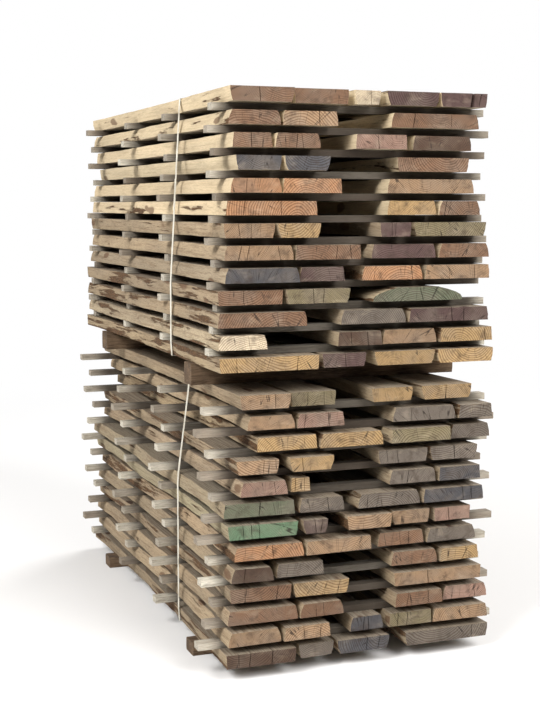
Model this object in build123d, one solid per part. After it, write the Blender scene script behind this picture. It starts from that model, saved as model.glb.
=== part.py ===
"""A stack of air-drying lumber: two strapped bundles of unedged sawn boards, one on the other.

The boards run along Y, with their ends at the front and back. Each layer has a left and a right
pack of boards, and thin stickers lie across the boards between the layers. Each bundle stands on
two crosswise bearers, and a plastic strap is pulled tight round it.

Millimetres, +Z up, origin at the middle of the stack's footprint on the ground.
"""

import os
from math import cos, pi

from build123d import *

# Boards
BOARD_LENGTH = 2000.0
BOARD_THICKNESS = 52.0
BUNDLE_WIDTH = 1080.0
BOARD_CLEARANCE = 3.0

# Waney edges: how far an edge slopes through the thickness, at the least and at the most
LEAST_WANE = 3.0
MOST_WANE = 13.0

# How far an edge wanders along the board, in how many waves and with what shift between edges
EDGE_WANDER = 14.0
LEAST_WAVES = 0.9
MOST_WAVES = 2.2
EDGE_PHASE = 0.05
EDGE_SPANS = 6

# The ends are knocked level, but some boards stand in by up to this much
END_STAGGER = 18.0

# Stickers, the laths between the layers
STICKER_THICKNESS = 25.0
STICKER_WIDTH = 48.0
STICKER_INSET = 110.0
STICKER_ROWS = 4

# How far the longest stickers of each bundle reach from the middle, and how much their ends vary
LOWER_STICKER_REACH = 594.0
UPPER_STICKER_REACH = 548.0
LOWER_STICKER_SPREAD = 54.0
UPPER_STICKER_SPREAD = 30.0

# Bearers under each bundle
GROUND_BEARER_HEIGHT = 50.0
MIDDLE_BEARER_HEIGHT = 80.0
BEARER_WIDTH = 90.0
BEARER_INSET = 360.0

# The strap round each bundle, and how far it stands behind the bundle's front
STRAP_WIDTH = 16.0
STRAP_THICKNESS = 1.0
STRAP_CLEARANCE = 0.3
STRAP_INSET = 600.0

# Each layer's boards, from the bottom layer up: the left and right edge of each board, in
# hundredths of the bundle's width. Boards that share an edge lie side by side. A third number is
# the wane of a slab, cut from the outside of a log.
LOWER_BOARD_SHARES = (
    ((2, 27), (28, 42), (42, 62), (67, 100)),
    ((3, 22), (22, 40), (47, 60), (61, 78), (78, 100)),
    ((3, 28), (28, 45), (63, 82), (82, 100)),
    ((4, 26), (26, 47), (63, 97)),
    ((4, 19), (20, 38), (62, 80), (80, 96)),
    ((5, 30), (30, 55), (57, 75), (75, 95)),
    ((3, 28), (29, 39), (45, 62), (62, 77), (78, 93)),
    ((2, 27), (28, 45), (49, 73), (73, 97)),
    ((7, 24), (25, 33), (61, 79), (79, 96)),
    ((6, 21), (24, 41), (57, 76), (76, 95)),
    ((13, 35), (35, 59), (61, 84), (84, 100)),
    ((10, 27), (27, 45), (62, 86), (86, 100)),
    ((7, 25), (25, 42), (54, 70), (72, 92)),
)
UPPER_BOARD_SHARES = (
    ((0, 35), (36, 53), (55, 78), (78, 100)),
    ((0, 17), (41, 58), (58, 79), (79, 100)),
    ((0, 31), (42, 67), (67, 98)),
    ((0, 23), (23, 47), (54, 88, 9)),
    ((2, 28), (28, 45), (50, 73), (73, 98)),
    ((2, 26), (26, 50), (54, 78), (78, 98)),
    ((2, 20), (20, 36), (56, 68), (69, 97)),
    ((3, 35), (59, 78), (78, 94)),
    ((4, 22), (22, 44), (59, 92)),
    ((6, 22), (22, 39), (63, 90)),
    ((5, 19), (19, 36), (47, 66), (68, 91)),
    ((4, 22), (22, 42), (60, 93)),
    ((4, 26), (26, 46), (47, 57), (58, 78), (78, 96)),
)


def across(share):
    """X of a place given in hundredths of the bundle's width, from its left side."""
    return BUNDLE_WIDTH * (share / 100 - 0.5)


def in_turn(most, seed, steps):
    """A size that goes from nothing up to its most in even steps, and starts again."""
    return most * (seed % steps) / (steps - 1)


def edge_wander(seed, along):
    """How far inward a waney edge has wandered at a share of the board's length."""
    waves = LEAST_WAVES + in_turn(MOST_WAVES - LEAST_WAVES, seed, 4)
    return EDGE_WANDER * (0.5 - 0.5 * cos(2 * pi * (waves * along + EDGE_PHASE * (seed % 5))))


def edge_slopes(edges, seed):
    """How far an edge stands in at the board's bottom and top face: the bark side is the narrow one."""
    if len(edges) > 2:
        return 0.0, BUNDLE_WIDTH * edges[2] / 100
    wane = LEAST_WANE + in_turn(MOST_WANE - LEAST_WANE, seed, 7)
    if seed % 3:
        return 0.0, wane
    return wane, 0.0


def flat_solid(bottom, top):
    """A solid with flat faces between two outlines that have the same number of points."""
    faces = [Face(Wire.make_polygon(bottom)), Face(Wire.make_polygon(top))]
    for i in range(len(bottom)):
        j = (i + 1) % len(bottom)
        faces.append(Face(Wire.make_polygon([bottom[i], bottom[j], top[j], top[i]])))
    return Solid(Shell(faces))


class Board:
    """One unedged board. Its two sides wander along its length, inside the place it has."""

    def __init__(self, edges, z, seed):
        self.z = z
        self.low, self.high = edge_slopes(edges, seed)
        front = -BOARD_LENGTH / 2 + in_turn(END_STAGGER, seed, 4)
        back = BOARD_LENGTH / 2 - in_turn(END_STAGGER, seed, 5)
        shares = [i / EDGE_SPANS for i in range(EDGE_SPANS + 1)]
        self.stations = [front + (back - front) * share for share in shares]
        self.sides = []
        for edge, inward, side_seed in ((edges[0], 1, seed), (edges[1], -1, seed + 1)):
            start = across(edge) + inward * BOARD_CLEARANCE / 2
            line = [start + inward * edge_wander(side_seed, share) for share in shares]
            self.sides.append((inward, line))

    def solid(self):
        """The board as a solid, wider on one face than on the other."""
        left = [(x, y, 1) for x, y in zip(self.sides[0][1], self.stations)]
        right = [(x, y, -1) for x, y in zip(self.sides[1][1], self.stations)]
        outline = left + right[::-1]
        bottom = [(x + inward * self.low, y, self.z) for x, y, inward in outline]
        top = [(x + inward * self.high, y, self.z + BOARD_THICKNESS) for x, y, inward in outline]
        return flat_solid(bottom, top)

    def side_x(self, line, y):
        """X of a side's line at a place along the board."""
        span = (self.stations[-1] - self.stations[0]) / EDGE_SPANS
        i = min(int((y - self.stations[0]) / span), EDGE_SPANS - 1)
        part = (y - self.stations[i]) / span
        return line[i] + (line[i + 1] - line[i]) * part

    def corners(self, near, far):
        """The (x, z) corners that the board shows between two places along it."""
        places = [near, far] + [y for y in self.stations if near < y < far]
        points = []
        for inward, line in self.sides:
            for y in places:
                x = self.side_x(line, y)
                points.append((x + inward * self.low, self.z))
                points.append((x + inward * self.high, self.z + BOARD_THICKNESS))
        return points


def seed_of(layer, place):
    """A number of its own for each board, from its layer and its place in the layer."""
    return 5 * layer + 3 * place


def layer_height(base, layer):
    """Z of the underside of a layer, in a bundle that stands on a base height."""
    return base + layer * (BOARD_THICKNESS + STICKER_THICKNESS)


def board_layer(boards, base, layer):
    """The boards of one layer, side by side and clear of each other."""
    z = layer_height(base, layer)
    return [Board(edges, z, seed_of(layer, place)) for place, edges in enumerate(boards)]


def sticker_row(layers, base, row, reach, spread):
    """The stickers of one row, one on each layer but the top one."""
    first = -BOARD_LENGTH / 2 + STICKER_INSET
    y = first - 2 * first * row / (STICKER_ROWS - 1)
    stickers = []
    for layer in range(len(layers) - 1):
        left = -reach + in_turn(spread, 2 * layer + row, 5)
        right = reach - in_turn(spread, 3 * layer + 2 * row, 5)
        z = layer_height(base, layer) + BOARD_THICKNESS
        corner = (Align.MIN, Align.CENTER, Align.MIN)
        lath = Box(right - left, STICKER_WIDTH, STICKER_THICKNESS, align=corner)
        stickers.append(Pos(left, y, z) * lath)
    return stickers


def bearers(z, height):
    """The two crosswise timbers that a bundle stands on."""
    timber = Box(BUNDLE_WIDTH, BEARER_WIDTH, height, align=(Align.CENTER, Align.CENTER, Align.MIN))
    inset = BOARD_LENGTH / 2 - BEARER_INSET
    return [Pos(0, -inset, z) * timber, Pos(0, inset, z) * timber]


def turn(a, b, c):
    """Positive where the path from a through b to c turns left."""
    return (b[0] - a[0]) * (c[1] - a[1]) - (b[1] - a[1]) * (c[0] - a[0])


def half_hull(points):
    """One half of the outline that a strap takes when it is pulled tight round some points."""
    chain = []
    for point in points:
        while len(chain) > 1 and turn(chain[-2], chain[-1], point) <= 0:
            chain.pop()
        chain.append(point)
    return chain[:-1]


def taut_outline(layers, base, y):
    """The (x, z) points that a tight strap bears on at a place along the bundle."""
    points = []
    for layer, boards in enumerate(layers):
        for board in board_layer(boards, base, layer):
            points += board.corners(y - STRAP_WIDTH / 2, y + STRAP_WIDTH / 2)
    points.sort()
    return half_hull(points) + half_hull(points[::-1])


def strap(layers, base, y):
    """A closed plastic strap round a bundle, pulled tight over the boards that stand out most."""
    plane = Plane(origin=(0, y - STRAP_WIDTH / 2, 0), x_dir=(1, 0, 0), z_dir=(0, -1, 0))
    bundle = make_face(Polyline(*taut_outline(layers, base, y), close=True))
    inner = offset(bundle, STRAP_CLEARANCE, kind=Kind.INTERSECTION)
    outer = offset(bundle, STRAP_CLEARANCE + STRAP_THICKNESS, kind=Kind.INTERSECTION)
    return extrude(plane * (outer - inner), -STRAP_WIDTH)


def write(name, solids):
    """Write one node."""
    export_step(Compound(solids), f"parts/{name}.step")


def write_bundle(name, layers, base, reach, spread):
    """Write a bundle's layers, rows of stickers and strap."""
    for layer, boards in enumerate(layers):
        solids = [board.solid() for board in board_layer(boards, base, layer)]
        write(f"{name}_layer_{layer + 1:02d}", solids)
    for row in range(STICKER_ROWS):
        write(f"{name}_stickers_{row + 1}", sticker_row(layers, base, row, reach, spread))
    strap_y = STRAP_INSET - BOARD_LENGTH / 2
    write(f"{name}_strap", strap(layers, base, strap_y).solids())


def main():
    """Write every node of the stack."""
    os.makedirs("parts", exist_ok=True)
    lower_base = GROUND_BEARER_HEIGHT
    lower_top = layer_height(lower_base, len(LOWER_BOARD_SHARES) - 1) + BOARD_THICKNESS
    upper_base = lower_top + MIDDLE_BEARER_HEIGHT
    write("ground_bearers", bearers(0, GROUND_BEARER_HEIGHT))
    write("middle_bearers", bearers(lower_top, MIDDLE_BEARER_HEIGHT))
    write_bundle("lower", LOWER_BOARD_SHARES, lower_base, LOWER_STICKER_REACH, LOWER_STICKER_SPREAD)
    write_bundle("upper", UPPER_BOARD_SHARES, upper_base, UPPER_STICKER_REACH, UPPER_STICKER_SPREAD)


main()
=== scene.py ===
"""A stack of air-drying lumber: two strapped bundles of unedged sawn boards on bearers.

Every board is lofted again from its plain solid in the frame, with a wandering bark edge, checked ends
and a worn surface. Stickers, bearers and straps follow their solids too, through Geometry Nodes.
Metres, +Z up, the boards along Y with their ends facing front and back.
"""

import logging
import math
from dataclasses import dataclass, field
from enum import Enum
from typing import Any, Iterable, Sequence, Union

import bmesh
import bpy
import numpy as np
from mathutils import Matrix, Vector


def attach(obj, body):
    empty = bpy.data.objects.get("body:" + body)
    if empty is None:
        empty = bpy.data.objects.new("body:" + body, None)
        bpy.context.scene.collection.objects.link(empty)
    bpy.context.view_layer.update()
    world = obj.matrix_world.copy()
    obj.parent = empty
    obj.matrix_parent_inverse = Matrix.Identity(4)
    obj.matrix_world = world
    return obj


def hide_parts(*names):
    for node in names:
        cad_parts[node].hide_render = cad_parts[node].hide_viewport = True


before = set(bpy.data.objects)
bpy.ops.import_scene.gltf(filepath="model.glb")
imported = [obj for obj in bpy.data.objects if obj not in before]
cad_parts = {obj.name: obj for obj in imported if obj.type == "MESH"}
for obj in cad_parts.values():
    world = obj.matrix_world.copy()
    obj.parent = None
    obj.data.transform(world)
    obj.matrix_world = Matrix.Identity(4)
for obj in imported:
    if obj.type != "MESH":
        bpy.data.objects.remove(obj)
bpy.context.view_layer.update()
BODY = "root"
STICKER_ROWS = 4
SHARP_ANGLE = math.radians(35)
BEARER_SEED = 77

# How far apart the grain of two laths is read, along the log
LATH_SHIFT = 40.0

log = logging.getLogger("lumber_stack")

Number = Union[float, "Value"]
Key = Union[int, str]
Rgb = tuple[int, int, int]
Place = tuple[float, float, float]
Waves = Sequence[tuple[float, float]]


def linear(rgb: Sequence[float]) -> tuple[float, float, float, float]:
    """Turn a colour as written on a screen into the linear light that Blender mixes.

    Args:
        rgb: Red, green and blue, from 0 to 255.

    Returns:
        The linear colour with an alpha of 1.
    """
    parts = [c / 255 for c in rgb]
    lit = [c / 12.92 if c <= 0.04045 else ((c + 0.055) / 1.055) ** 2.4 for c in parts]
    return (lit[0], lit[1], lit[2], 1.0)


class Tone(Enum):
    """The colours that the board ends have weathered to, as seen on a screen."""

    ORANGE = (166, 124, 90)
    OCHRE = (166, 138, 97)
    TAN = (154, 127, 99)
    PINK = (150, 121, 106)
    PALE = (206, 190, 162)
    BROWN = (122, 94, 73)
    UMBER = (80, 62, 50)
    PLUM = (88, 69, 66)
    GREY = (106, 98, 89)
    SLATE = (76, 76, 79)
    OLIVE = (122, 112, 86)
    MOSS = (98, 103, 84)
    GREEN = (98, 124, 97)


O, C, T, K, L, B, U, P, G, S, V, M, N = Tone

# The tone of each board, left to right, in each layer from the bottom up
LOWER_TONES = (
    (U, G, S, G),
    (T, T, S, V, T),
    (B, B, B, K),
    (B, C, T),
    (U, G, B, C),
    (O, T, B, G),
    (N, P, T, T, K),
    (M, G, G, S),
    (K, C, G, S),
    (T, C, G, G),
    (C, C, V, G),
    (T, K, G, G),
    (T, V, C, C),
)
UPPER_TONES = (
    (C, P, C, C),
    (L, U, T, C),
    (B, G, P),
    (B, V, M),
    (S, P, O, T),
    (T, B, P, B),
    (T, C, P, V),
    (O, C, B),
    (O, O, T),
    (S, S, B),
    (B, B, K, U),
    (B, T, B),
    (B, B, L, P, P),
)


class Value:
    """A number on its way through a node tree, so that maths on it reads as Python."""

    def __init__(self, tree: "NodeMaker", socket: bpy.types.NodeSocket) -> None:
        """Wrap one output socket of a maker's tree."""
        self.tree = tree
        self.socket = socket

    def math(self, operation: str, *others: Number) -> "Value":
        """Add one Math node, with this value as its first operand."""
        return self.tree.math(operation, self, *others)

    def __add__(self, other: Number) -> "Value":
        """Sum of two values."""
        return self.math("ADD", other)

    __radd__ = __add__

    def __sub__(self, other: Number) -> "Value":
        """Difference of two values."""
        return self.math("SUBTRACT", other)

    def __rsub__(self, other: Number) -> "Value":
        """Difference, with this value taken from the other."""
        return self.tree.math("SUBTRACT", other, self)

    def __mul__(self, other: Number) -> "Value":
        """Product of two values."""
        return self.math("MULTIPLY", other)

    __rmul__ = __mul__

    def __truediv__(self, other: Number) -> "Value":
        """Quotient of two values."""
        return self.math("DIVIDE", other)

    def __rtruediv__(self, other: Number) -> "Value":
        """Quotient, with the other value divided by this one."""
        return self.tree.math("DIVIDE", other, self)

    def step(self, low: float, high: float, soft: bool = True) -> "Value":
        """Rise from 0 to 1 between two limits.

        Args:
            low: Where the result is 0.
            high: Where the result is 1. It may be the smaller one.
            soft: Whether the rise eases in and out.

        Returns:
            A value from 0 to 1.
        """
        kind = "SMOOTHSTEP" if soft else "LINEAR"
        inputs = {0: self, 1: low, 2: high}
        return self.tree.add("ShaderNodeMapRange", {"interpolation_type": kind}, inputs)


class NodeMaker:
    """Adds nodes to a material's or a Geometry Nodes tree."""

    def __init__(self, tree: bpy.types.NodeTree) -> None:
        """Work on one tree."""
        self.tree = tree

    @staticmethod
    def find(sockets: Any, key: Key) -> bpy.types.NodeSocket:
        """Find a socket by number, identifier or name.

        Args:
            sockets: A node's inputs or outputs.
            key: The number, identifier or name.

        Returns:
            The first socket that fits.
        """
        if isinstance(key, int):
            return sockets[key]
        for socket in sockets:
            if socket.identifier == key:
                return socket
        return sockets[key]

    def add(
        self,
        kind: str,
        settings: dict[str, Any] | None = None,
        inputs: dict[Key, Any] | None = None,
        output: Key = 0,
    ) -> Value:
        """Add any node, with its settings first and then its values or links.

        Args:
            kind: The node's type name.
            settings: The node's own properties.
            inputs: Values or links by socket.
            output: The socket that is wanted back.

        Returns:
            The wanted output, empty for a node that has none.
        """
        node = self.tree.nodes.new(kind)
        for name, value in (settings or {}).items():
            setattr(node, name, value)
        for key, value in (inputs or {}).items():
            self.feed(self.find(node.inputs, key), value)
        outlet = self.find(node.outputs, output) if len(node.outputs) else None
        return Value(self, outlet)

    def feed(self, socket: bpy.types.NodeSocket, value: Any) -> None:
        """Link a value to a socket, or set what the socket holds.

        Args:
            socket: The socket.
            value: A value in the tree, or a plain one.
        """
        if isinstance(value, Value):
            self.tree.links.new(value.socket, socket)
        else:
            socket.default_value = value

    def out(self, value: Value, key: Key) -> Value:
        """Take another output of the node that a value came from."""
        return Value(self, self.find(value.socket.node.outputs, key))

    def math(self, operation: str, *operands: Number) -> Value:
        """Add one Math node, with its operands in order."""
        return self.add("ShaderNodeMath", {"operation": operation}, dict(enumerate(operands)))

    def vector(self, operation: str, *operands: Any) -> Value:
        """Add one Vector Math node, with its operands in order."""
        return self.add("ShaderNodeVectorMath", {"operation": operation}, dict(enumerate(operands)))

    def xyz(self, value: Value) -> tuple[Value, Value, Value]:
        """Split a vector into its three numbers."""
        x = self.add("ShaderNodeSeparateXYZ", inputs={0: value})
        return x, self.out(x, 1), self.out(x, 2)

    def combine(self, x: Number, y: Number, z: Number) -> Value:
        """Make a vector of three numbers."""
        return self.add("ShaderNodeCombineXYZ", inputs={0: x, 1: y, 2: z})

    def noise(self, place: Value, detail: float = 3.0, rough: float = 0.55) -> Value:
        """Add soft noise around 0.5, with so many finer layers of a given strength."""
        inputs = {"Vector": place, "Scale": 1.0, "Detail": detail, "Roughness": rough}
        return self.add("ShaderNodeTexNoise", {}, inputs)

    def mix(self, share: Number, first: Any, second: Any, blend: str = "MIX") -> Value:
        """Mix a share of a second colour into a first one."""
        inputs = {"Factor_Float": share, "A_Color": first, "B_Color": second}
        return self.add("ShaderNodeMix", {"data_type": "RGBA", "blend_type": blend}, inputs, "Result_Color")


class MaterialMaker(NodeMaker):
    """A material's tree."""

    def __init__(self, name: str) -> None:
        """Start a material.

        Args:
            name: The material's name.
        """
        self.material = bpy.data.materials.new(name)
        self.material.use_nodes = True
        super().__init__(self.material.node_tree)
        self.shader = self.tree.nodes["Principled BSDF"]

    def surface(self, colour: Any, rough: Number, shine: float) -> None:
        """Give the shader its colour, roughness and shine.

        Args:
            colour: The base colour.
            rough: The roughness.
            shine: The specular level.
        """
        inputs = {"Base Color": colour, "Roughness": rough, "Specular IOR Level": shine}
        for key, value in inputs.items():
            self.feed(self.shader.inputs[key], value)


@dataclass(frozen=True)
class Stain:
    """A colour that lies where a pattern is between two limits, and how strong it is at most."""

    low: float
    high: float
    share: float
    rgb: Rgb


class GrainMaker(MaterialMaker):
    """A material's tree whose patterns follow the mesh's own grain, a place in metres."""

    shine: float = 0.25
    bend_spread: Place = (9.0, 1.1, 9.0)
    bend_reach: float = 0.030
    uneven_rings: float = 0.9
    fibre_stretch: float = 0.03
    knot_spread: Place = (9.0, 3.1, 9.0)
    knot_wobble: float = 0.3
    knot_edges: tuple[float, float] = (0.17, 0.11)

    def __init__(self, name: str) -> None:
        """Start a material that reads the grain."""
        super().__init__(name)
        self.grain = self.attribute("grain", 1)

    def attribute(self, name: str, output: int = 0) -> Value:
        """Read an attribute of the mesh: as a colour with 0, a vector with 1 or a number with 2."""
        return self.add("ShaderNodeAttribute", {"attribute_name": name}, output=output)

    def rings(self, spacing: Number) -> Value:
        """Draw growth rings round the pith, which lies on the grain's own Y axis.

        Args:
            spacing: The mean width of a ring.

        Returns:
            0 in the pale early wood, up to 1 in the dark late wood.
        """
        x, _, z = self.xyz(self.grain)
        bend = self.blotches(self.bend_spread, 2.0) - 0.5
        radius = self.math("SQRT", x * x + z * z) + bend * self.bend_reach
        turn = self.noise(self.combine(radius * 40.0, 0.0, 0.0), 0.0) * self.uneven_rings
        phase = self.math("FRACT", radius / spacing + turn)
        return phase.step(0.35, 0.9) * phase.step(1.0, 0.93)

    def blotches(self, stretch: Place, *finer: float) -> Value:
        """Draw soft blotches, so many for each metre along X, Y and Z of the grain."""
        return self.noise(self.vector("MULTIPLY", self.grain, stretch), *finer)

    def fibres(self, fineness: float) -> Value:
        """Draw fibres along the grain, so many for each metre across."""
        return self.blotches((fineness, fineness * self.fibre_stretch, fineness))

    def knots(self) -> Value:
        """Scatter knots over the wood.

        Returns:
            1 inside a knot and 0 outside.
        """
        place = self.vector("MULTIPLY", self.grain, self.knot_spread)
        wobble = self.add("ShaderNodeTexNoise", {}, {"Vector": place, "Scale": 2.0}, 1)
        shift = self.vector("MULTIPLY", wobble, (self.knot_wobble,) * 3)
        inputs = {"Vector": self.vector("ADD", place, shift), "Scale": 1.0, "Randomness": 1.0}
        return self.add("ShaderNodeTexVoronoi", {"feature": "F1"}, inputs).step(*self.knot_edges)

    def stain(self, colour: Any, share: Number, rgb: Rgb) -> Value:
        """Lay a share of a colour as written on a screen over another one."""
        return self.mix(share, colour, linear(rgb))

    def lay(self, colour: Any, pattern: Value, stain: Stain, stain_strength: Number = 1.0) -> Value:
        """Lay a stain over a colour, as strong as a pattern and a given strength make it."""
        return self.stain(colour, pattern.step(stain.low, stain.high) * (stain.share * stain_strength), stain.rgb)

    def finish(self, colour: Value, rough: Number, height: Value, depth: float) -> bpy.types.Material:
        """Link the surface and its relief to the shader.

        Args:
            colour: The base colour.
            rough: The roughness.
            height: The height of the relief, from 0 to 1.
            depth: How deep the relief is, in metres.

        Returns:
            The finished material.
        """
        self.surface(colour, rough, self.shine)
        bump = self.add("ShaderNodeBump", {}, {"Strength": 1.0, "Distance": depth, "Height": height})
        self.feed(self.shader.inputs["Normal"], bump)
        return self.material


@dataclass(frozen=True)
class EndGrain:
    """The cross-cut ends: growth rings, radial checks, saw marks and stains."""

    name: str = "end_grain"
    rough: float = 0.86
    relief: float = 0.0012
    ring_spacing: float = 0.0058
    checks: float = 6.0
    saw_pitch: float = 0.004
    grey: Stain = Stain(0.38, 0.7, 0.38, (128, 118, 106))
    grime: Stain = Stain(0.48, 0.72, 0.6, (56, 44, 36))
    hairs: Stain = Stain(0.55, 0.8, 0.35, (56, 44, 36))
    specks: Stain = Stain(0.45, 0.85, 0.3, (56, 44, 36))
    late_wood: Rgb = (150, 120, 96)
    bleach: Rgb = (96, 86, 72)
    cracks: Rgb = (34, 25, 20)

    def material(self) -> bpy.types.Material:
        """Build the material.

        Returns:
            The finished material.
        """
        maker = GrainMaker(self.name)
        x, y, z = maker.xyz(maker.grain)
        late = maker.rings(maker.attribute("board", 2) * self.ring_spacing + self.ring_spacing * 0.55)
        heart = maker.blotches((9.0, 2.0, 9.0))
        colour = maker.lay(maker.attribute("tone"), heart, self.grey)
        dark = maker.mix(1.0, colour, linear(self.late_wood), "MULTIPLY")
        colour = maker.mix(late * 0.75, colour, dark)
        grime = maker.blotches((26.0, 5.0, 26.0), 5.0, 0.65)
        colour = maker.lay(colour, grime, self.grime)
        bleached = maker.blotches((17.0, 4.0, 34.0), 2.0)
        light = maker.mix(1.0, colour, linear(self.bleach), "SCREEN")
        colour = maker.mix(bleached.step(0.56, 0.75) * 0.55, colour, light)
        angle = maker.math("ARCTAN2", z, x)
        reach = maker.math("SQRT", x * x + z * z)
        ray = maker.noise(maker.combine(angle * self.checks, reach * 3.0, y * 0.05), 1.0)
        hair = maker.noise(maker.combine(angle * 150.0, reach * 30.0, y * 0.05), 1.0)
        crack = maker.math("ABSOLUTE", ray - 0.5).step(0.016, 0.003) * grime.step(0.6, 0.42)
        colour = maker.lay(colour, hair, self.hairs)
        colour = maker.stain(colour, crack * 0.8, self.cracks)
        saw = maker.math("SINE", (x * 0.35 + z) * (math.tau / self.saw_pitch) + heart * 6.0)
        speck = maker.blotches((1100.0, 60.0, 1100.0), 2.0)
        colour = maker.lay(colour, speck, self.specks)
        height = late * 0.3 + saw * 0.1 + speck * 0.3 + (1.0 - crack) * 0.7
        return maker.finish(colour, self.rough, height, self.relief)


@dataclass(frozen=True)
class SawnFace:
    """The broad sawn faces: silvered grain, saw marks across, knots."""

    name: str = "sawn_face"
    rough: float = 0.88
    relief: float = 0.0012
    ring_spacing: float = 0.0062
    saw_pitch: float = 0.0045
    streaks: Stain = Stain(0.48, 0.68, 0.45, (84, 68, 54))
    fibres: Stain = Stain(0.48, 0.66, 0.45, (62, 50, 40))
    silver: Rgb = (142, 132, 116)
    late_wood: Rgb = (86, 62, 42)
    knots: Rgb = (58, 34, 22)

    def material(self) -> bpy.types.Material:
        """Build the material.

        Returns:
            The finished material.
        """
        maker = GrainMaker(self.name)
        _, along, _ = maker.xyz(maker.grain)
        late = maker.rings(self.ring_spacing)
        fibre, streak = maker.fibres(900.0), maker.fibres(170.0)
        patch = maker.blotches((11.0, 2.2, 11.0), 4.0)
        # The side colour holds painted sunlight on the top six layers of the upper bundle.
        tone = maker.attribute("side_tone")
        colour = maker.stain(tone, patch.step(0.25, 0.7) * 0.5 + 0.35, self.silver)
        colour = maker.stain(colour, late * 0.45, self.late_wood)
        colour = maker.lay(colour, streak, self.streaks)
        colour = maker.lay(colour, fibre, self.fibres)
        knot = maker.knots()
        colour = maker.stain(colour, knot * 0.85, self.knots)
        wave = maker.math("SINE", along * (math.tau / self.saw_pitch) + patch * 9.0)
        height = late * 0.3 + fibre * 0.7 + streak * 0.4 + wave * 0.12 - knot * 0.2
        return maker.finish(colour, self.rough, height, self.relief)


@dataclass(frozen=True)
class WaneyEdge:
    """The rounded bark side of a board: smooth sapwood under torn patches of bark, paler and with less bark
    on the boards in the painted sunlight.
    """

    name: str = "waney_edge"
    rough: float = 0.9
    relief: float = 0.003
    weathered: Stain = Stain(0.32, 0.7, 0.65, (138, 124, 104))
    streaks: Stain = Stain(0.46, 0.66, 0.5, (118, 96, 72))
    fibres: Stain = Stain(0.46, 0.64, 0.5, (88, 70, 54))
    sapwood: Rgb = (200, 180, 146)
    knots: Rgb = (88, 58, 38)
    bark: Rgb = (116, 86, 58)
    bark_cracks: Rgb = (66, 49, 34)

    def material(self) -> bpy.types.Material:
        """Build the material.

        Returns:
            The finished material.
        """
        maker = GrainMaker(self.name)
        fibre, streak = maker.fibres(750.0), maker.fibres(130.0)
        # Painted sunlight: on the boards in the painted sunlight the weathering stains are weaker and the
        # bark patches fewer, so their sides show paler.
        painted_sunlit = maker.attribute("painted_sunlit", 2)
        stain_strength = 1.0 - painted_sunlit * 0.55
        wood = maker.stain(maker.attribute("side_tone"), 0.4, self.sapwood)
        wood = maker.lay(wood, maker.blotches((12.0, 2.0, 12.0)), self.weathered, stain_strength)
        wood = maker.lay(wood, streak, self.streaks, stain_strength)
        wood = maker.lay(wood, fibre, self.fibres, stain_strength)
        wood = maker.stain(wood, maker.knots() * 0.7, self.knots)
        patch = maker.blotches((34.0, 2.4, 34.0), 5.0, 0.62)
        torn = (patch + maker.attribute("board", 2) * 0.2 - painted_sunlit * 0.07).step(0.68, 0.74)
        crust = maker.blotches((240.0, 70.0, 240.0), 4.0, 0.7)
        bark = maker.mix(crust.step(0.35, 0.7), linear(self.bark_cracks), linear(self.bark))
        colour = maker.mix(torn, wood, bark)
        height = fibre * 0.2 + streak * 0.25 + torn * (crust * 1.4 + 0.8)
        return maker.finish(colour, self.rough, height, self.relief)


@dataclass(frozen=True)
class LathWood:
    """The thin laths between the layers: pale at their ends, and darkened in the middle by painted shade
    where the boards cover them.
    """

    name: str = "sticker_wood"
    rough: float = 0.88
    relief: float = 0.001
    streaks: Stain = Stain(0.46, 0.66, 0.45, (114, 103, 88))
    fibres: Stain = Stain(0.46, 0.64, 0.45, (92, 82, 70))
    grey: Stain = Stain(0.52, 0.7, 0.45, (110, 103, 94))
    painted_shade_between_boards: Stain = Stain(0.56, 0.46, 0.85, (44, 35, 28))
    pale: Rgb = (218, 211, 194)
    dark: Rgb = (142, 130, 115)

    def material(self) -> bpy.types.Material:
        """Build the material.

        Returns:
            The finished material.
        """
        maker = GrainMaker(self.name)
        number = maker.attribute("board", 2)
        fibre, streak = maker.fibres(1000.0), maker.fibres(220.0)
        patch = maker.blotches((40.0, 8.0, 40.0))
        age = (number + patch * 0.6 - 0.3).step(0.0, 1.0, False)
        colour = maker.mix(age, linear(self.pale), linear(self.dark))
        colour = maker.lay(colour, streak, self.streaks)
        colour = maker.lay(colour, fibre, self.fibres)
        colour = maker.lay(colour, maker.blotches((60.0, 14.0, 60.0), 4.0), self.grey)
        # Painted shade: the laths turn dark where they lie between the boards, standing for the shade
        # inside the stack.
        _, along, _ = maker.xyz(maker.grain)
        reach = maker.math("ABSOLUTE", along - number * LATH_SHIFT)
        colour = maker.lay(colour, reach, self.painted_shade_between_boards)
        return maker.finish(colour, self.rough, fibre + patch * 0.4, self.relief)


@dataclass(frozen=True)
class BearerWood:
    """The squared timbers under a bundle: damp, dark and rough."""

    name: str = "bearer_wood"
    rough: float = 0.9
    relief: float = 0.0015
    ring_spacing: float = 0.006
    streaks: Stain = Stain(0.46, 0.68, 0.4, (52, 40, 32))
    fibres: Stain = Stain(0.46, 0.64, 0.4, (150, 128, 102))
    dry: Rgb = (116, 94, 72)
    damp: Rgb = (58, 46, 38)
    late_wood: Rgb = (48, 34, 26)

    def material(self) -> bpy.types.Material:
        """Build the material.

        Returns:
            The finished material.
        """
        maker = GrainMaker(self.name)
        late = maker.rings(self.ring_spacing)
        fibre, streak = maker.fibres(800.0), maker.fibres(150.0)
        patch = maker.blotches((16.0, 5.0, 16.0), 4.0)
        colour = maker.mix(patch.step(0.3, 0.7), linear(self.dry), linear(self.damp))
        colour = maker.stain(colour, late * 0.45, self.late_wood)
        colour = maker.lay(colour, streak, self.streaks)
        colour = maker.lay(colour, fibre, self.fibres)
        return maker.finish(colour, self.rough, late * 0.4 + fibre * 0.6 + streak * 0.3, self.relief)


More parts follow.
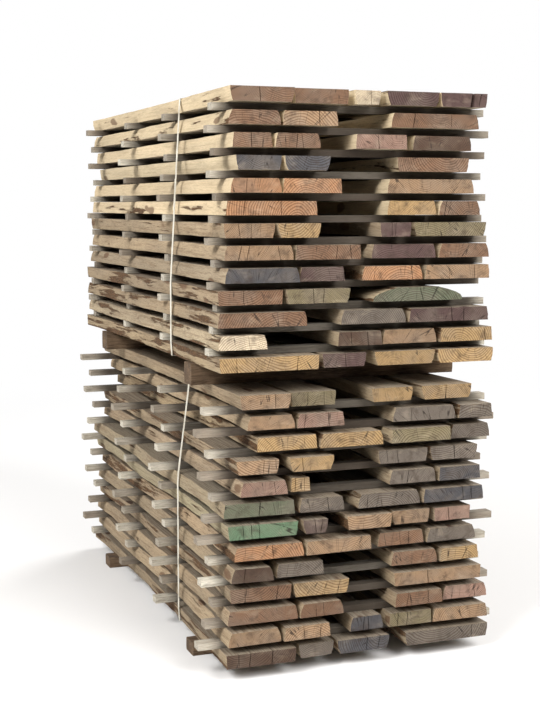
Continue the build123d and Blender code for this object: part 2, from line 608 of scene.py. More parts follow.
@dataclass(frozen=True)
class StrapPlastic:
    """Off-white strapping: a ribbed band, scuffed and dusty."""

    name: str = "strap_plastic"
    relief: float = 0.0003
    clean: Rgb = (222, 218, 204)
    dusty: Rgb = (168, 158, 138)
    rib_pitch: float = 0.0016
    weld_pitch: float = 0.005

    def material(self) -> bpy.types.Material:
        """Build the material.

        Returns:
            The finished material.
        """
        maker = GrainMaker(self.name)
        _, y, z = maker.xyz(maker.grain)
        dust = maker.blotches((18.0, 90.0, 18.0), 4.0)
        colour = maker.mix(dust.step(0.4, 0.75), linear(self.clean), linear(self.dusty))
        rib = maker.math("SINE", y * (math.tau / self.rib_pitch))
        weld = maker.attribute("weld", 2)
        press = maker.math("SINE", (y + z) * (math.tau / self.weld_pitch)).step(-0.2, 0.2)
        colour = maker.stain(colour, weld * press * 0.5, self.dusty)
        height = rib * (0.5 - weld * 0.5) + weld * press + 0.5
        return maker.finish(colour, dust.step(0.2, 0.9) * 0.3 + 0.35, height, self.relief)


def placed(name: str, data: bpy.types.ID) -> bpy.types.Object:
    """Make an object of a mesh, a light or a camera, and link it to the scene.

    Args:
        name: The object's name.
        data: What it shows.

    Returns:
        The object, at the origin.
    """
    shape = bpy.data.objects.new(name, data)
    bpy.context.scene.collection.objects.link(shape)
    return shape


def islands(source: bpy.types.Object) -> list[np.ndarray]:
    """Split a node of the frame into its separate solids.

    Args:
        source: The node's object. It isn't changed.

    Returns:
        The corner points of each solid, in the order of their least X, then Y, then Z.
    """
    work = bmesh.new()
    work.from_mesh(source.data)
    bmesh.ops.remove_doubles(work, verts=work.verts, dist=1e-5)
    left = set(work.verts)
    groups = []
    while left:
        waiting = [left.pop()]
        group = list(waiting)
        while waiting:
            for link in waiting.pop().link_edges:
                for vert in link.verts:
                    if vert in left:
                        left.remove(vert)
                        waiting.append(vert)
                        group.append(vert)
        groups.append(np.array(sorted(tuple(v.co) for v in group)))
    work.free()
    return sorted(groups, key=lambda g: tuple(np.round(g.min(0), 3)))


def smooth_line(places: np.ndarray, values: np.ndarray, wanted: np.ndarray) -> np.ndarray:
    """Read a smooth curve through some values.

    Args:
        places: Where the values are known, in rising order.
        values: The values there.
        wanted: Where the curve is read.

    Returns:
        The curve's values, which nowhere pass far beyond the known ones.
    """
    slopes = np.gradient(values, places)
    index = np.clip(np.searchsorted(places, wanted) - 1, 0, len(places) - 2)
    span = places[index + 1] - places[index]
    t = np.clip((wanted - places[index]) / span, 0, 1)
    first = (1 + 2 * t) * (1 - t) ** 2 * values[index] + t * (1 - t) ** 2 * span * slopes[index]
    second = t * t * (3 - 2 * t) * values[index + 1] - t * t * (1 - t) * span * slopes[index + 1]
    return first + second


def wander(draw: np.random.Generator, places: np.ndarray, waves: Waves) -> np.ndarray:
    """Add up a few sine waves of random phase.

    Args:
        draw: The seeded generator.
        places: Where the sum is read, in metres.
        waves: Each wave's length and height, in metres.

    Returns:
        A line that goes from 0 up to the sum of the heights.
    """
    total = np.zeros_like(places)
    for length, height in waves:
        phase = draw.uniform(0, math.tau)
        stretch = draw.uniform(0.8, 1.25)
        total += height * (0.5 + 0.5 * np.sin(math.tau * places / (length * stretch) + phase))
    return total


@dataclass
class MeshParts:
    """Points and faces of several solids, gathered for one mesh."""

    points: list[np.ndarray] = field(default_factory=list)
    faces: list[tuple[int, ...]] = field(default_factory=list)
    slots: list[int] = field(default_factory=list)
    values: dict[str, list[np.ndarray]] = field(default_factory=dict)
    count: int = 0

    def take(
        self,
        points: np.ndarray,
        faces: Iterable[tuple[int, ...]],
        slots: Iterable[int],
        values: dict[str, np.ndarray],
    ) -> None:
        """Add one solid.

        Args:
            points: Its points.
            faces: Its faces, numbered from its own first point.
            slots: The material number of each face.
            values: Its point attributes by name.
        """
        self.points.append(points)
        self.faces += [tuple(i + self.count for i in face) for face in faces]
        self.slots += list(slots)
        for name, data in values.items():
            self.values.setdefault(name, []).append(data)
        self.count += len(points)

    def build(self, name: str, materials: Sequence[bpy.types.Material]) -> bpy.types.Object:
        """Make the mesh and its object.

        Args:
            name: The piece's name.
            materials: The materials that the faces' numbers mean.

        Returns:
            The object, linked to the scene at the origin.
        """
        mesh = bpy.data.meshes.new(name)
        mesh.from_pydata(np.concatenate(self.points).tolist(), [], self.faces)
        for material in materials:
            mesh.materials.append(material)
        mesh.polygons.foreach_set("material_index", self.slots)
        for key, parts in self.values.items():
            data = np.concatenate(parts)
            width = data.shape[1] if data.ndim > 1 else 1
            kind = {1: "FLOAT", 3: "FLOAT_VECTOR", 4: "FLOAT_COLOR"}[width]
            layer = mesh.attributes.new(key, kind, "POINT")
            member = {1: "value", 3: "vector", 4: "color"}[width]
            layer.data.foreach_set(member, data.astype(np.float32).ravel())
        mesh.update()
        mesh.validate()
        return placed(name, mesh)


class Side(Enum):
    """The three kinds of surface on a sawn board, as material numbers."""

    END = 0
    FACE = 1
    EDGE = 2


def closed_skin(rings: np.ndarray) -> tuple[np.ndarray, list[tuple[int, ...]], list[Side]]:
    """Join rings of points into a closed skin with gridded ends.

    Args:
        rings: Points by ring, row from the bottom and column from the left.

    Returns:
        The points, the faces, which point outwards, and the kind of each face.
    """
    total, rows, columns, _ = rings.shape
    loop = [(0, c) for c in range(columns)]
    loop += [(r, columns - 1) for r in range(1, rows)]
    loop += [(rows - 1, c) for c in range(columns - 2, -1, -1)]
    loop += [(r, 0) for r in range(rows - 2, 0, -1)]
    size = len(loop)
    ends = (0, total - 1)
    points = [rings[k, r, c] for k in range(total) for r, c in loop]
    number = {(k, r, c): k * size + i for k in ends for i, (r, c) in enumerate(loop)}
    for k in ends:
        for r in range(1, rows - 1):
            for c in range(1, columns - 1):
                number[(k, r, c)] = len(points)
                points.append(rings[k, r, c])
    faces, sides = [], []
    for k in range(total - 1):
        for i in range(size):
            j = (i + 1) % size
            here, there = k * size, (k + 1) * size
            faces.append((here + i, here + j, there + j, there + i))
            upright = loop[i][1] == loop[j][1]
            sides.append(Side.EDGE if upright else Side.FACE)
    for k in ends:
        for r in range(rows - 1):
            for c in range(columns - 1):
                around = ((r, c), (r, c + 1), (r + 1, c + 1), (r + 1, c))
                quad = tuple(number[(k, a, b)] for a, b in around)
                faces.append(quad[::-1] if k == 0 else quad)
                sides.append(Side.END)
    skin = np.array(points)
    corners = [skin[[face[i] for face in faces]] for i in range(4)]
    halves = np.cross(corners[1], corners[2]) + np.cross(corners[2], corners[3])
    if float((corners[0] * halves).sum()) < 0:
        faces = [face[::-1] for face in faces]
    return skin, faces, sides


@dataclass
class SawnBoard:
    """One unedged board, read from its plain solid and lofted again in full."""

    corners: np.ndarray
    tone: Tone
    seed: int
    # Whether the board stands in the painted sunlight, which gives its sides a paler colour.
    painted_sunlit: bool
    columns: int = 14
    rows: int = 5
    ring_gap: float = 0.044
    check_room: float = 0.13
    check_lean: float = 0.007
    check_clear: float = 0.011
    # The first side colour is painted sunlight: the pale cream sides of the top six layers of the upper
    # bundle.
    painted_sunlit_side: Rgb = (232, 214, 178)
    grey_side: Rgb = (146, 130, 108)
    heart_waves: Waves = ((0.46, 0.0028), (0.19, 0.002), (0.083, 0.001))
    bark_waves: Waves = ((0.52, 0.0048), (0.21, 0.0034), (0.09, 0.0018))
    face_waves: Waves = ((0.9, 0.0009), (0.3, 0.0005))
    calm_reach: float = 0.25
    most_tilt: float = 0.004
    check_apart: float = 0.05
    check_near: float = 0.004
    swell: float = 0.36
    torn: float = 0.0016

    def __post_init__(self) -> None:
        """Read the board's ends, faces and edge lines from its corner points."""
        self.draw = np.random.default_rng(self.seed)
        heights = self.corners[:, 2]
        self.bottom, self.top = heights.min(), heights.max()
        places = np.unique(np.round(self.corners[:, 1], 5))
        self.front, self.back = places[0], places[-1]
        middle = (self.bottom + self.top) / 2
        self.lines = []
        for half in (self.corners[heights < middle], self.corners[heights > middle]):
            pairs = [half[np.abs(half[:, 1] - y) < 1e-4, 0] for y in places]
            self.lines.append((np.array([p.min() for p in pairs]), np.array([p.max() for p in pairs])))
        self.places = places
        low_width = (self.lines[0][1] - self.lines[0][0]).mean()
        high_width = (self.lines[1][1] - self.lines[1][0]).mean()
        self.bark_up = high_width < low_width

    def checks(self) -> list[tuple[float, ...]]:
        """Choose the drying checks of one end.

        Returns:
            For each check its share across, half width, depth, and how open it is at the bottom and top.
        """
        width = self.lines[0][1][0] - self.lines[0][0][0]
        count = int(self.draw.integers(0, 3 + int(width > 0.25)))
        shares = np.sort(self.draw.uniform(0.12, 0.88, count))
        kept = [s for i, s in enumerate(shares) if i == 0 or s - shares[i - 1] > 0.08]
        found = []
        for share in kept:
            half, depth = self.draw.uniform(0.0003, 0.0013), self.draw.uniform(0.02, 0.10)
            first = self.draw.choice((0.0, 0.3, 1.0))
            last = self.draw.choice((0.0, 0.5, 1.0)) if first else 1.0
            found.append((share, half, depth, first, last))
        return found

    def shares_across(self, checks: Sequence[tuple[float, ...]], width: float) -> np.ndarray:
        """Spread the columns across the board, with three for each check.

        Args:
            width: The board's mean width.

        Returns:
            Shares of the width from 0 to 1, in rising order.
        """
        even = np.linspace(0, 1, self.columns + 1)
        shares = set(even)
        for share, half, *_ in checks:
            near = self.check_clear / width
            shares = {s for s in shares if abs(s - share) > near or s in (0.0, 1.0)}
            shares |= {share - half / width, share, share + half / width}
        return np.array(sorted(shares))

    def loft(self, parts: MeshParts) -> None:
        """Add the board to a mesh.

        Args:
            parts: Where its points and faces go.
        """
        draw = self.draw
        front_checks, back_checks = self.checks(), self.checks()
        apart = self.check_apart
        back_checks = [c for c in back_checks if all(abs(c[0] - f[0]) > apart for f in front_checks)]
        width = float((self.lines[0][1] - self.lines[0][0]).mean())
        shares = self.shares_across(front_checks + back_checks, width)
        inner = np.arange(self.front + self.check_room, self.back - self.check_room + 1e-6, self.ring_gap)
        ys = np.concatenate([[self.front], inner, [self.back]])
        calm = np.clip(np.minimum(ys - self.front, self.back - ys) / self.calm_reach, 0.25, 1.0)
        edges = []
        for level, (left, right) in enumerate(self.lines):
            waves = self.bark_waves if (level == 1) == self.bark_up else self.heart_waves
            left_line = smooth_line(self.places, left, ys) + wander(draw, ys, waves) * calm
            right_line = smooth_line(self.places, right, ys) - wander(draw, ys, waves) * calm
            edges.append((left_line, right_line))
        sag = [wander(draw, ys, self.face_waves) for _ in range(2)]
        tilt = draw.uniform(-self.most_tilt, self.most_tilt, 2)
        count = len(shares)
        rows = self.rows
        lean = np.zeros(count)
        for share, *_ in front_checks + back_checks:
            slant = draw.uniform(-1, 1) * self.check_lean
            lean[np.abs(shares - share) < self.check_near / width] = slant
        rise = np.linspace(0, 1, rows + 1)
        bulge = self.swell * (edges[0][0] - edges[1][0])
        rings = []
        for k, y in enumerate(ys):
            low = edges[0][0][k] + (edges[0][1][k] - edges[0][0][k]) * shares
            high = edges[1][0][k] + (edges[1][1][k] - edges[1][0][k]) * shares
            along = np.full(count, y)
            cuts: list[tuple[float, float, float, float]] = []
            if k in (0, len(ys) - 1):
                end = 0 if k == 0 else 1
                inward = 1 if k == 0 else -1
                along += inward * (abs(tilt[end]) + tilt[end] * (2 * shares - 1))
                for share, _, depth, first, last in (front_checks, back_checks)[end]:
                    cuts.append((share, inward * depth, first, last))
            grid = np.empty((rows + 1, count, 3))
            floor, ceiling = self.bottom + sag[0][k], self.top - sag[1][k]
            for r in range(rows + 1):
                grid[r, :, 0] = low + (high - low) * rise[r] + lean * (rise[r] - 0.5)
                grid[r, :, 1] = along
                for share, depth, first, last in cuts:
                    grid[r, np.isclose(shares, share), 1] += depth * (first + (last - first) * rise[r])
                grid[r, :, 2] = floor + (ceiling - floor) * rise[r]
            puff = 4 * rise * (1 - rise)
            rough = draw.uniform(0, self.torn, (2, rows + 1)) * (puff > 0)
            swell = abs(float(bulge[k]))
            grid[:, 0, 0] += -swell * puff + rough[0]
            grid[:, -1, 0] += swell * puff - rough[1]
            rings.append(grid)
        self.stitch(parts, np.array(rings))

    def stitch(self, parts: MeshParts, rings: np.ndarray) -> None:
        """Close the board's skin over its rings and add it to a mesh."""
        points, faces, sides = closed_skin(rings)
        parts.take(points, faces, [side.value for side in sides], self.paint(points))

    def paint(self, points: np.ndarray) -> dict[str, np.ndarray]:
        """Work out the board's attributes: its place in the log and its colours.

        Args:
            points: The board's points.

        Returns:
            Each attribute's values by name.
        """
        draw = self.draw
        centre = points[:, 0].mean() + draw.uniform(-0.35, 0.35) * np.ptp(points[:, 0])
        away = draw.uniform(0.01, 0.13)
        pith = self.bottom - away if self.bark_up else self.top + away
        lean = draw.uniform(-0.02, 0.02, 2)
        along = points[:, 1] - self.front
        x = points[:, 0] - centre + lean[0] * along
        y = points[:, 1] + draw.uniform(3, 60)
        z = points[:, 2] - pith + lean[1] * along
        base = np.array(linear(self.tone.value))
        base[:3] *= draw.uniform(0.88, 1.12)
        # Painted sunlight: boards in the painted sunlight get the pale cream side colour and less of the
        # end's tone.
        weather = np.array(linear(self.painted_sunlit_side if self.painted_sunlit else self.grey_side))
        share = 0.25 if self.painted_sunlit else 0.4
        side = base * share + weather * (1 - share)
        side[:3] *= draw.uniform(0.86, 1.14)
        many = len(points)
        return {
            "grain": np.column_stack([x, y, z]),
            "tone": np.tile(base, (many, 1)),
            "side_tone": np.tile(side, (many, 1)),
            "board": np.full(many, draw.uniform(0, 1)),
            "painted_sunlit": np.full(many, float(self.painted_sunlit)),
        }


class ShapeTree(NodeMaker):
    """A Geometry Nodes tree with named inputs, which takes a shape and gives one back."""

    def __init__(self, name: str, **inputs: str) -> None:
        """Start the tree.

        Args:
            name: The tree's name.
            inputs: The kind of socket of each named input.
        """
        super().__init__(bpy.data.node_groups.new(name, "GeometryNodeTree"))
        face = self.tree.interface
        face.new_socket("Geometry", in_out="INPUT", socket_type="NodeSocketGeometry")
        self.keys = {}
        for key, kind in inputs.items():
            socket = face.new_socket(key.capitalize(), in_out="INPUT", socket_type=f"NodeSocket{kind}")
            self.keys[key] = socket.identifier
        face.new_socket("Geometry", in_out="OUTPUT", socket_type="NodeSocketGeometry")
        self.start = self.add("NodeGroupInput")

    def given(self) -> list[Value]:
        """Read the named inputs, in order."""
        return [self.out(self.start, i) for i in range(1, len(self.keys) + 1)]

    def store(self, shape: Value, name: str, value: Value, kind: str, domain: str) -> Value:
        """Store an attribute of some kind of data on a shape's points or instances."""
        inputs = {"Geometry": shape, "Name": name, "Value": value}
        return self.add("GeometryNodeStoreNamedAttribute", {"data_type": kind, "domain": domain}, inputs)

    def stored(self, name: str, kind: str) -> Value:
        """Read a stored attribute."""
        return self.add("GeometryNodeInputNamedAttribute", {"data_type": kind}, {"Name": name})

    def move(self, shape: Value, shifts: Sequence[Number]) -> Value:
        """Move a shape's points along its normals, so far along X, Y and Z."""
        offset = self.vector("MULTIPLY", self.add("GeometryNodeInputNormal"), self.combine(*shifts))
        return self.add("GeometryNodeSetPosition", {}, {"Geometry": shape, "Offset": offset})

    def finish(self, shape: Value, *materials: bpy.types.Material) -> None:
        """End the tree with one material for each of the shape's slots.

        Args:
            shape: The shape.
            materials: The slots' materials, in order.
        """
        done = self.add("GeometryNodeRealizeInstances", {}, {"Geometry": shape})
        slot = self.add("GeometryNodeInputMaterialIndex")
        for number, material in enumerate(materials):
            settings = {"data_type": "INT", "operation": "EQUAL"}
            here = self.add("FunctionNodeCompare", settings, {"A_INT": slot, "B_INT": number})
            inputs = {"Geometry": done, "Selection": here, "Material": material}
            done = self.add("GeometryNodeSetMaterial", {}, inputs)
        self.add("NodeGroupOutput", {}, {0: done})

    def apply(self, shape: bpy.types.Object, **values: float) -> None:
        """Run the tree on an object and keep the result as its plain mesh.

        Args:
            shape: The object.
            values: The named inputs' values.
        """
        modifier = shape.modifiers.new("shape", "NODES")
        modifier.node_group = self.tree
        for key, value in values.items():
            modifier[self.keys[key]] = value
        bpy.context.view_layer.update()
        graph = bpy.context.evaluated_depsgraph_get()
        seen = shape.evaluated_get(graph)
        mesh = bpy.data.meshes.new_from_object(seen, preserve_all_data_layers=True, depsgraph=graph)
        mesh.name = shape.name
        shape.modifiers.remove(modifier)
        shape.data = mesh


class Surfacing(ShapeTree):
    """The tree that roughens a sawn surface, by moving its points inward."""

    def __init__(self, name: str, finishes: Sequence[bpy.types.Material]) -> None:
        """Build the tree.

        Args:
            name: The tree's name.
            finishes: The materials of the shape's slots, in order.
        """
        super().__init__(name, depth="Float", fineness="Float")
        depth, fineness = self.given()
        grain = self.stored("grain", "FLOAT_VECTOR")
        stretched = self.vector("MULTIPLY", grain, (1.0, 0.35, 1.0))
        inputs = {"Vector": stretched, "Scale": fineness, "Detail": 2.0}
        inward = 0.0 - self.add("ShaderNodeTexNoise", {}, inputs) * depth
        self.finish(self.move(self.start, (inward, inward, inward)), *finishes)


def settle(shape: bpy.types.Object, slot: str, *nodes: str) -> bpy.types.Object:
    """Fix a finished piece to the stack.

    Args:
        shape: The piece.
        slot: The name of the piece's material slot. It is not used.
        nodes: The nodes that it stands for.

    Returns:
        The piece.
    """
    shape.data.set_sharp_from_angle(angle=SHARP_ANGLE)
    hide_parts(*nodes)
    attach(shape, BODY)
    log.info("%s: %d faces", shape.name, len(shape.data.polygons))
    return shape


@dataclass
class Bundle:
    """One strapped bundle: its layers of boards."""

    name: str
    tones: Sequence[Sequence[Tone]]
    seed: int
    # How many layers from the bottom stay without painted sunlight; the layers above get paler sides as
    # painted sunlight.
    layers_below_painted_sun: int
    surfacing: Surfacing
    finishes: Sequence[bpy.types.Material]
    depth: float = 0.0012
    fineness: float = 60.0
    seeds_for_a_layer: int = 20

    def boards(self) -> None:
        """Build every layer of boards."""
        for number, tones in enumerate(self.tones, 1):
            node = f"{self.name}_layer_{number:02d}"
            parts = MeshParts()
            for place, corners in enumerate(islands(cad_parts[node])):
                tone = tones[place % len(tones)]
                painted_sunlit = number > self.layers_below_painted_sun
                seed = self.seed + self.seeds_for_a_layer * number + place
                SawnBoard(corners, tone, seed, painted_sunlit).loft(parts)
            shape = parts.build(f"{self.name}_boards_{number:02d}", self.finishes)
            self.surfacing.apply(shape, depth=self.depth, fineness=self.fineness)
            settle(shape, "sawn_board", node)


class LathTree(ShapeTree):
    """The tree that lays a lath on each point of a row."""

    def __init__(self, material: bpy.types.Material) -> None:
        """Build the tree.

        Args:
            material: The laths' material.
        """
        super().__init__("lay_laths", width="Float", thickness="Float", seed="Int")
        width, thickness, seed = self.given()
        size = self.combine(1.0, width * 0.97, thickness)
        counts = {"Vertices X": 34, "Vertices Y": 4, "Vertices Z": 3}
        lath = self.add("GeometryNodeMeshCube", {}, {"Size": size, **counts})
        scale = self.combine(self.stored("length", "FLOAT"), 1.0, 1.0)
        inputs = {"Points": self.start, "Instance": lath, "Scale": scale}
        laid = self.add("GeometryNodeInstanceOnPoints", {}, inputs)
        chance = self.add("FunctionNodeRandomValue", {"data_type": "FLOAT"}, {"Seed": seed}, "Value_001")
        named = self.store(laid, "board", chance, "FLOAT", "INSTANCE")
        real = self.add("GeometryNodeRealizeInstances", {}, {"Geometry": named})
        number = self.stored("board", "FLOAT")
        x, y, z = self.xyz(self.add("GeometryNodeInputPosition"))
        grain = self.combine(y, x + number * LATH_SHIFT, z + number * 7.0)
        grained = self.store(real, "grain", grain, "FLOAT_VECTOR", "POINT")
        place = self.combine(x * 9.0, y * 60.0 + number * 30.0, z * 60.0)
        inward = 0.0 - self.add("ShaderNodeTexNoise", {}, {"Vector": place, "Scale": 1.0}) * 0.0016
        self.finish(self.move(grained, (inward, inward, 0.0)), material)


@dataclass
class StickerRow:
    """One row of stickers: the laths that lie above each other at one place along the boards."""

    node: str
    seed: int
    laths: LathTree

    def build(self) -> bpy.types.Object:
        """Lay the row's laths.

        Returns:
            The finished piece.
        """
        solids = islands(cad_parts[self.node])
        lows = np.array([s.min(0) for s in solids])
        highs = np.array([s.max(0) for s in solids])
        mesh = bpy.data.meshes.new(self.node)
        mesh.from_pydata(((lows + highs) / 2).tolist(), [], [])
        lengths = mesh.attributes.new("length", "FLOAT", "POINT")
        lengths.data.foreach_set("value", (highs - lows)[:, 0])
        shape = placed(f"{self.node}_laths", mesh)
        size = (highs - lows)[0]
        self.laths.apply(shape, width=float(size[1]), thickness=float(size[2]), seed=self.seed)
        return settle(shape, "sticker", self.node)


@dataclass
class Bearers:
    """The crosswise timbers under a bundle."""

    node: str
    seed: int
    material: bpy.types.Material
    surfacing: Surfacing
    rings: int = 26
    rows: int = 5
    columns: int = 7
    depth: float = 0.001
    fineness: float = 45.0
    least_wear: float = 0.003
    wear_waves: Waves = ((0.4, 0.002), (0.13, 0.0015))

    def build(self) -> bpy.types.Object:
        """Build the timbers, with worn arrises.

        Returns:
            The finished piece.
        """
        parts = MeshParts()
        draw = np.random.default_rng(self.seed)
        for corners in islands(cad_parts[self.node]):
            low, high = corners.min(0), corners.max(0)
            xs = np.linspace(low[0], high[0], self.rings)
            rings = np.empty((self.rings, self.rows, self.columns, 3))
            wear = self.least_wear + wander(draw, xs, self.wear_waves)
            for k, x in enumerate(xs):
                for r, rise in enumerate(np.linspace(0, 1, self.rows)):
                    ys = np.linspace(low[1], high[1], self.columns)
                    if r in (0, self.rows - 1):
                        ys[0] += wear[k]
                        ys[-1] -= wear[k]
                    z = low[2] + (high[2] - low[2]) * rise
                    rings[k, r] = np.stack([np.full(self.columns, x), ys, np.full(self.columns, z)], axis=1)
            self.stitch(parts, rings, draw)
        shape = parts.build(f"{self.node}_timbers", [self.material])
        self.surfacing.apply(shape, depth=self.depth, fineness=self.fineness)
        return settle(shape, "bearer", self.node)

    def stitch(self, parts: MeshParts, rings: np.ndarray, draw: np.random.Generator) -> None:
        """Join one timber's rings into a closed skin.

        Args:
            parts: Where the points and faces go.
            rings: Points by ring, row and column.
            draw: The seeded generator.
        """
        points, faces, _ = closed_skin(rings)
        centre = points.mean(0)
        x = points[:, 1] - centre[1] + draw.uniform(-0.03, 0.03)
        y = points[:, 0] + draw.uniform(2, 40)
        z = points[:, 2] - centre[2] + draw.uniform(-0.03, 0.03)
        parts.take(points, faces, [0] * len(faces), {"grain": np.column_stack([x, y, z])})


class StrapTree(ShapeTree):
    """The tree that turns a strap's outline into a band."""

    def __init__(self, material: bpy.types.Material) -> None:
        """Build the tree.

        Args:
            material: The strap's material.
        """
        super().__init__("pull_strap", width="Float", thickness="Float")
        width, thickness = self.given()
        inputs = {"Mesh": self.start, "Offset": self.combine(0.0, width, 0.0), "Offset Scale": 1.0}
        edge = self.add("GeometryNodeExtrudeMesh", {"mode": "EDGES"}, inputs)
        inputs = {"Mesh": edge, "Offset Scale": thickness, "Individual": False}
        band = self.add("GeometryNodeExtrudeMesh", {"mode": "FACES"}, inputs)
        whole = self.add("GeometryNodeJoinGeometry", {}, {0: band})
        inner = self.add("GeometryNodeFlipFaces", {}, {"Mesh": edge})
        self.tree.links.new(inner.socket, whole.socket.node.inputs[0])
        merged = self.add("GeometryNodeMergeByDistance", {}, {"Geometry": whole, "Distance": 0.00005})
        place = self.add("GeometryNodeInputPosition")
        self.finish(self.store(merged, "grain", place, "FLOAT_VECTOR", "POINT"), material)


@dataclass
class Strap:
    """One plastic strap, pulled tight round a bundle."""

    node: str
    tree: StrapTree
    step: float = 0.03
    lap_height: float = 0.62
    lap_reach: float = 0.07
    lap_lift: float = 0.0012
    thickness: float = 0.001

    def outline(self) -> tuple[np.ndarray, float, float]:
        """Read the strap's inner outline from its solid.

        Returns:
            The inner corner points in order round the loop, the front face's Y and the width.
        """
        points = islands(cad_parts[self.node])[0]
        front, back = points[:, 1].min(), points[:, 1].max()
        ring = points[np.abs(points[:, 1] - front) < 1e-4]
        flat = ring[:, [0, 2]]
        centre = (flat.min(0) + flat.max(0)) / 2
        order = np.argsort(np.arctan2(flat[:, 1] - centre[1], flat[:, 0] - centre[0]))
        pairs = flat[order]
        inner = []
        for a in range(len(pairs)):
            twin = np.linalg.norm(pairs - pairs[a], axis=1)
            twin[a] = math.inf
            b = int(np.argmin(twin))
            if np.linalg.norm(pairs[a] - centre) < np.linalg.norm(pairs[b] - centre):
                inner.append(pairs[a])
        return np.array(inner), float(front), float(back - front)

    def build(self) -> bpy.types.Object:
        """Build the band and its welded lap.

        Returns:
            The finished piece.
        """
        corners, front, width = self.outline()
        path = []
        for a, b in zip(corners, np.roll(corners, -1, axis=0)):
            steps = max(1, round(float(np.linalg.norm(b - a)) / self.step))
            path += [a + (b - a) * i / steps for i in range(steps)]
        band = np.array(path)
        low, high = band.min(0), band.max(0)
        middle = low[1] + (high[1] - low[1]) * self.lap_height
        on_left = band[:, 0] < (low[0] + high[0]) / 2
        lap = band[on_left & (np.abs(band[:, 1] - middle) < self.lap_reach)]
        lap = lap[np.argsort(-lap[:, 1])] - (self.lap_lift, 0.0)
        count, extra = len(band), len(lap)
        edges = [(i, (i + 1) % count) for i in range(count)]
        edges += [(count + i, count + i + 1) for i in range(extra - 1)]
        points = np.concatenate([band, lap])
        mesh = bpy.data.meshes.new(self.node)
        mesh.from_pydata([(x, front, z) for x, z in points.tolist()], edges, [])
        weld = mesh.attributes.new("weld", "FLOAT", "POINT")
        weld.data.foreach_set("value", [0.0] * (count + 1) + [1.0] * (extra - 2) + [0.0])
        shape = placed(f"{self.node}_band", mesh)
        self.tree.apply(shape, width=width, thickness=self.thickness)
        return settle(shape, "strap", self.node)


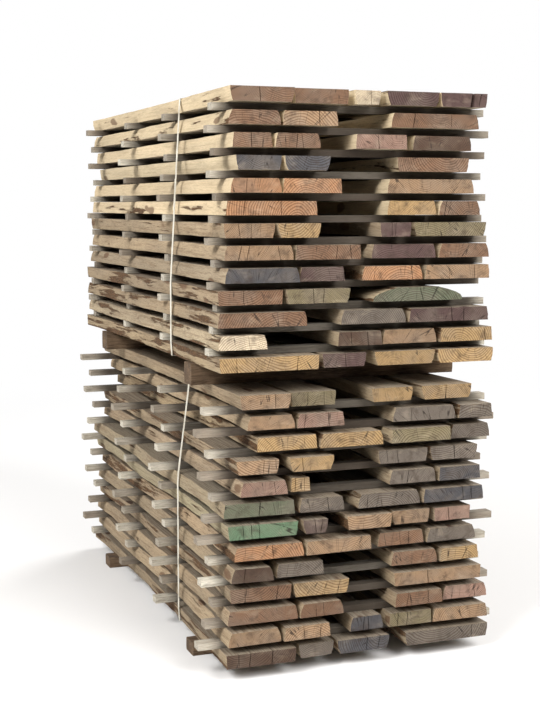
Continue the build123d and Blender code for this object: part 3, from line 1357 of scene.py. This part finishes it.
@dataclass
class Studio:
    """The pale floor, the soft lights and the camera."""

    camera_place: Place = (-1.955, -5.187, 1.678)
    aim: Place = (0.03, 0.0, 1.02)
    lens: float = 65.0
    sensor: float = 36.0
    lit_place: Place = (0.0, 0.0, 1.0)
    sky: float = 0.42
    floor_half: float = 40.0
    floor_shade: Sequence[float] = (0.82, 0.81, 0.80, 1.0)
    floor_fade: tuple[float, float] = (2.2, 7.0)
    lamps: Sequence[tuple[str, Place, float, float]] = (
        ("key", (-7.4, -4.6, 7.4), 4.2, 1250.0),
        ("fill", (2.8, -8.6, 7.6), 6.0, 1080.0),
        ("rim", (6.5, 5.0, 6.5), 4.5, 560.0),
    )

    @staticmethod
    def seen_plainly(maker: NodeMaker) -> Value:
        """Tell the rays that show the background from those that light the stack.

        Args:
            maker: The maker of the tree.

        Returns:
            1 for camera, glossy and transmission rays.
        """
        path = maker.add("ShaderNodeLightPath")
        seen = maker.math("MAXIMUM", path, maker.out(path, "Is Glossy Ray"))
        return maker.math("MAXIMUM", seen, maker.out(path, "Is Transmission Ray"))

    def floor(self) -> None:
        """Lay a wide pale floor that fades to white far out."""
        maker = MaterialMaker("studio_floor")
        place = maker.add("ShaderNodeTexCoord", output="Object")
        x, y, _ = maker.xyz(place)
        far = maker.math("SQRT", x * x + y * y).step(*self.floor_fade) * self.seen_plainly(maker)
        maker.surface(self.floor_shade, 0.9, 0.0)
        white = maker.add("ShaderNodeEmission", {}, {"Color": (1, 1, 1, 1), "Strength": 1.0})
        plain = Value(maker, maker.shader.outputs[0])
        both = maker.add("ShaderNodeMixShader", {}, {0: far, 1: plain, 2: white})
        output = maker.tree.nodes["Material Output"]
        maker.tree.links.new(both.socket, output.inputs["Surface"])
        mesh = bpy.data.meshes.new("studio_floor")
        half = self.floor_half
        corners = [(-half, -half, 0), (half, -half, 0), (half, half, 0), (-half, half, 0)]
        mesh.from_pydata(corners, [], [(0, 1, 2, 3)])
        mesh.materials.append(maker.material)
        ground = placed("studio_floor", mesh)

    def world(self) -> None:
        """Surround the stack with soft light, and show white behind it."""
        world = bpy.data.worlds.new("studio")
        world.use_nodes = True
        bpy.context.scene.world = world
        maker = NodeMaker(world.node_tree)
        seen = self.seen_plainly(maker)
        _, _, height = maker.xyz(maker.add("ShaderNodeTexCoord", output="Generated"))
        strength = maker.math("MAXIMUM", seen, height.step(-0.2, 0.7) * self.sky)
        back = world.node_tree.nodes["Background"]
        maker.feed(back.inputs["Color"], (1.0, 1.0, 1.0, 1.0))
        maker.feed(back.inputs["Strength"], strength)

    @staticmethod
    def point(holder: bpy.types.Object, place: Place, aim: Place) -> None:
        """Put a light or a camera in its place and point it at another one."""
        holder.location = place
        holder.rotation_euler = (Vector(aim) - Vector(place)).to_track_quat("-Z", "Y").to_euler()

    def lamp(self, name: str, place: Place, size: float, power: float) -> None:
        """Hang one soft lamp that points at the stack.

        Args:
            name: The lamp's name.
            place: Where it hangs.
            size: The side of its square.
            power: Its power in watts.
        """
        light = bpy.data.lights.new(name, "AREA")
        light.size = size
        light.energy = power
        self.point(placed(name, light), place, self.lit_place)

    def camera(self) -> None:
        """Set the camera where the photograph was taken, with a longer lens."""
        data = bpy.data.cameras.new("camera")
        data.lens = self.lens
        data.sensor_fit = "AUTO"
        data.sensor_width = self.sensor
        holder = placed("camera", data)
        self.point(holder, self.camera_place, self.aim)
        bpy.context.scene.camera = holder

    def build(self) -> None:
        """Set up the whole studio."""
        self.floor()
        self.world()
        for lamp in self.lamps:
            self.lamp(*lamp)
        self.camera()
        bpy.context.scene.view_settings.view_transform = "Standard"


def main() -> None:
    """Build the stack and its studio."""
    logging.basicConfig(level=logging.INFO, format="%(name)s %(message)s")
    board_finishes = [EndGrain().material(), SawnFace().material(), WaneyEdge().material()]
    rough_boards = Surfacing("rough_boards", board_finishes)
    laths = LathTree(LathWood().material())
    bearer_wood = BearerWood().material()
    rough_bearers = Surfacing("rough_bearers", [bearer_wood])
    strap_tree = StrapTree(StrapPlastic().material())
    # The last number in each row is how many layers from the bottom stay without painted sunlight, so the
    # top six layers of the upper bundle are painted as sunlit.
    for name, tones, seed, weathered in (("lower", LOWER_TONES, 1000, 13), ("upper", UPPER_TONES, 5000, 7)):
        Bundle(name, tones, seed, weathered, rough_boards, board_finishes).boards()
        for row in range(1, STICKER_ROWS + 1):
            StickerRow(f"{name}_stickers_{row}", seed + row, laths).build()
        Strap(f"{name}_strap", strap_tree).build()
    for node in ("ground_bearers", "middle_bearers"):
        Bearers(node, BEARER_SEED, bearer_wood, rough_bearers).build()
    Studio().build()


if __name__ == "__main__":
    main()
